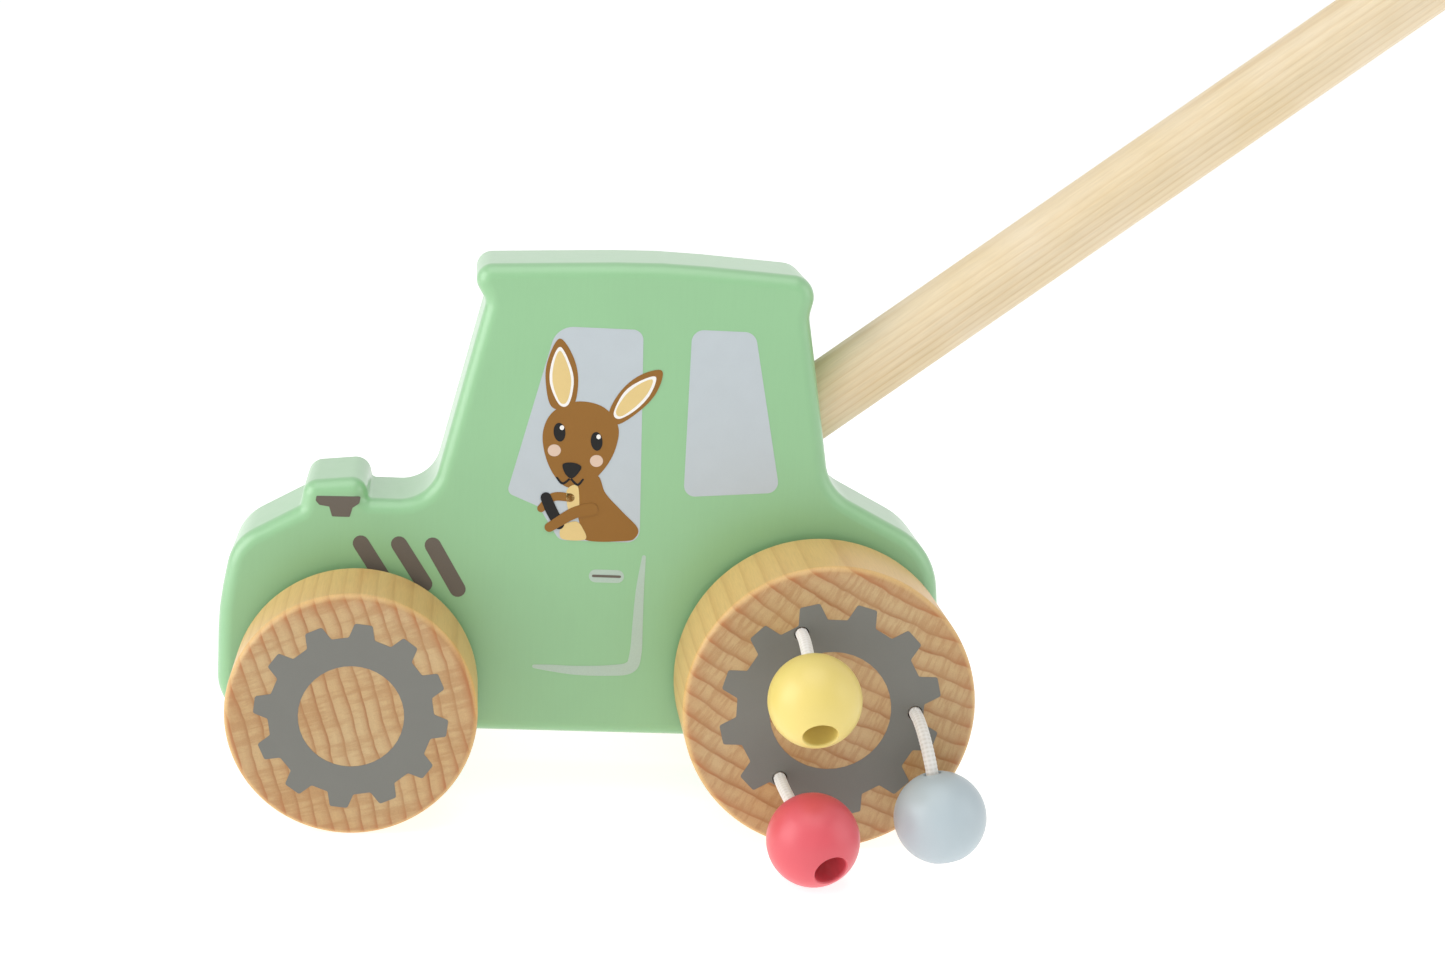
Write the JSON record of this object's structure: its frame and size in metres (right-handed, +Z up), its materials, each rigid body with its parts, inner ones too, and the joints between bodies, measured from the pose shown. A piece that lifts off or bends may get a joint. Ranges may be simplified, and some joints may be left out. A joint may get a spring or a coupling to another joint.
{
  "type": "push along truck",
  "caption": "Push-along wooden tractor with a plank body, turning wheels on dowel axles, a push rod, and beads on knotted cords on the rear wheels.",
  "frame": {"origin": "on the ground, under the middle of the toy's box of length and width", "axes": "+X forward, from the push rod's knob to the bonnet; +Y to the tractor's left; +Z up"},
  "size_m": [0.5223, 0.1496, 0.3979],
  "materials": {
    "painted_body": "satin",
    "wheel_wood": "satin",
    "axle_wood": "matte",
    "handle_wood": "satin",
    "yellow_bead": "satin",
    "blue_bead": "satin",
    "red_bead": "satin",
    "cord": "matte"
  },
  "bodies": {
    "chassis": {"body_block": "painted_body", "handle_rod": "handle_wood", "handle_knob": "handle_wood"},
    "front_wheels": {"front_axle": "axle_wood", "front_wheel_left": "wheel_wood", "front_wheel_right": "wheel_wood"},
    "rear_wheels": {"rear_axle": "axle_wood", "rear_wheel_left": "wheel_wood", "rear_wheel_right": "wheel_wood"},
    "yellow_root_left": {"yellow_cord_root_left": "cord", "yellow_back_knot_left": "cord"},
    "yellow_hanging_left": {"yellow_cord_free_left": "cord", "yellow_bead_left": "yellow_bead", "yellow_end_knot_left": "cord"},
    "blue_root_left": {"blue_cord_root_left": "cord", "blue_back_knot_left": "cord"},
    "blue_hanging_left": {"blue_cord_free_left": "cord", "blue_bead_left": "blue_bead", "blue_end_knot_left": "cord"},
    "red_root_left": {"red_cord_root_left": "cord", "red_back_knot_left": "cord"},
    "red_hanging_left": {"red_cord_free_left": "cord", "red_bead_left": "red_bead", "red_end_knot_left": "cord"},
    "yellow_root_right": {"yellow_cord_root_right": "cord", "yellow_back_knot_right": "cord"},
    "yellow_hanging_right": {"yellow_cord_free_right": "cord", "yellow_bead_right": "yellow_bead", "yellow_end_knot_right": "cord"},
    "blue_root_right": {"blue_cord_root_right": "cord", "blue_back_knot_right": "cord"},
    "blue_hanging_right": {"blue_cord_free_right": "cord", "blue_bead_right": "blue_bead", "blue_end_knot_right": "cord"},
    "red_root_right": {"red_cord_root_right": "cord", "red_back_knot_right": "cord"},
    "red_hanging_right": {"red_cord_free_right": "cord", "red_bead_right": "red_bead", "red_end_knot_right": "cord"}
  },
  "joints": [
    {"name": "front_axle_spin", "type": "hinge", "parent": "chassis", "child": "front_wheels", "pos_m": [0.22896, 0, 0.028], "axis": [0, 1, 0], "continuous": true},
    {"name": "rear_axle_spin", "type": "hinge", "parent": "chassis", "child": "rear_wheels", "pos_m": [0.12203, 0, 0.0334], "axis": [0, 1, 0], "continuous": true},
    {"name": "yellow_turn_left", "type": "hinge", "parent": "rear_wheels", "child": "yellow_root_left", "pos_m": [0.1298, 0.04325, 0.05118], "axis": [0, 1, 0], "range_deg": [-45, 40], "stiffness_Nm_per_rad": 0.002},
    {"name": "yellow_bend_left", "type": "hinge", "parent": "yellow_root_left", "child": "yellow_hanging_left", "pos_m": [0.1298, 0.04525, 0.05118], "axis": [-0.9962, 0, 0.0872], "range_deg": [-25, 34], "stiffness_Nm_per_rad": 0.005},
    {"name": "blue_turn_left", "type": "hinge", "parent": "rear_wheels", "child": "blue_root_left", "pos_m": [0.10263, 0.04325, 0.0334], "axis": [0, 1, 0], "range_deg": [-20, 60], "stiffness_Nm_per_rad": 0.002},
    {"name": "blue_bend_left", "type": "hinge", "parent": "blue_root_left", "child": "blue_hanging_left", "pos_m": [0.10263, 0.04525, 0.0334], "axis": [-0.9744, 0, 0.225], "range_deg": [-55, 8], "stiffness_Nm_per_rad": 0.005},
    {"name": "red_turn_left", "type": "hinge", "parent": "rear_wheels", "child": "red_root_left", "pos_m": [0.13245, 0.04325, 0.01704], "axis": [0, 1, 0], "range_deg": [-60, 15], "stiffness_Nm_per_rad": 0.002},
    {"name": "red_bend_left", "type": "hinge", "parent": "red_root_left", "child": "red_hanging_left", "pos_m": [0.13245, 0.04525, 0.01704], "axis": [-0.7771, 0, 0.6293], "range_deg": [-22, 37], "stiffness_Nm_per_rad": 0.005},
    {"name": "yellow_turn_right", "type": "hinge", "parent": "rear_wheels", "child": "yellow_root_right", "pos_m": [0.1298, -0.04325, 0.05118], "axis": [0, 1, 0], "range_deg": [-45, 40], "stiffness_Nm_per_rad": 0.002},
    {"name": "yellow_bend_right", "type": "hinge", "parent": "yellow_root_right", "child": "yellow_hanging_right", "pos_m": [0.1298, -0.04525, 0.05118], "axis": [0.9962, 0, -0.0872], "range_deg": [-25, 34], "stiffness_Nm_per_rad": 0.005},
    {"name": "blue_turn_right", "type": "hinge", "parent": "rear_wheels", "child": "blue_root_right", "pos_m": [0.10263, -0.04325, 0.0334], "axis": [0, 1, 0], "range_deg": [-20, 60], "stiffness_Nm_per_rad": 0.002},
    {"name": "blue_bend_right", "type": "hinge", "parent": "blue_root_right", "child": "blue_hanging_right", "pos_m": [0.10263, -0.04525, 0.0334], "axis": [0.9744, 0, -0.225], "range_deg": [-55, 8], "stiffness_Nm_per_rad": 0.005},
    {"name": "red_turn_right", "type": "hinge", "parent": "rear_wheels", "child": "red_root_right", "pos_m": [0.13245, -0.04325, 0.01704], "axis": [0, 1, 0], "range_deg": [-60, 15], "stiffness_Nm_per_rad": 0.002},
    {"name": "red_bend_right", "type": "hinge", "parent": "red_root_right", "child": "red_hanging_right", "pos_m": [0.13245, -0.04525, 0.01704], "axis": [0.7771, 0, -0.6293], "range_deg": [-22, 37], "stiffness_Nm_per_rad": 0.005}
  ]
}
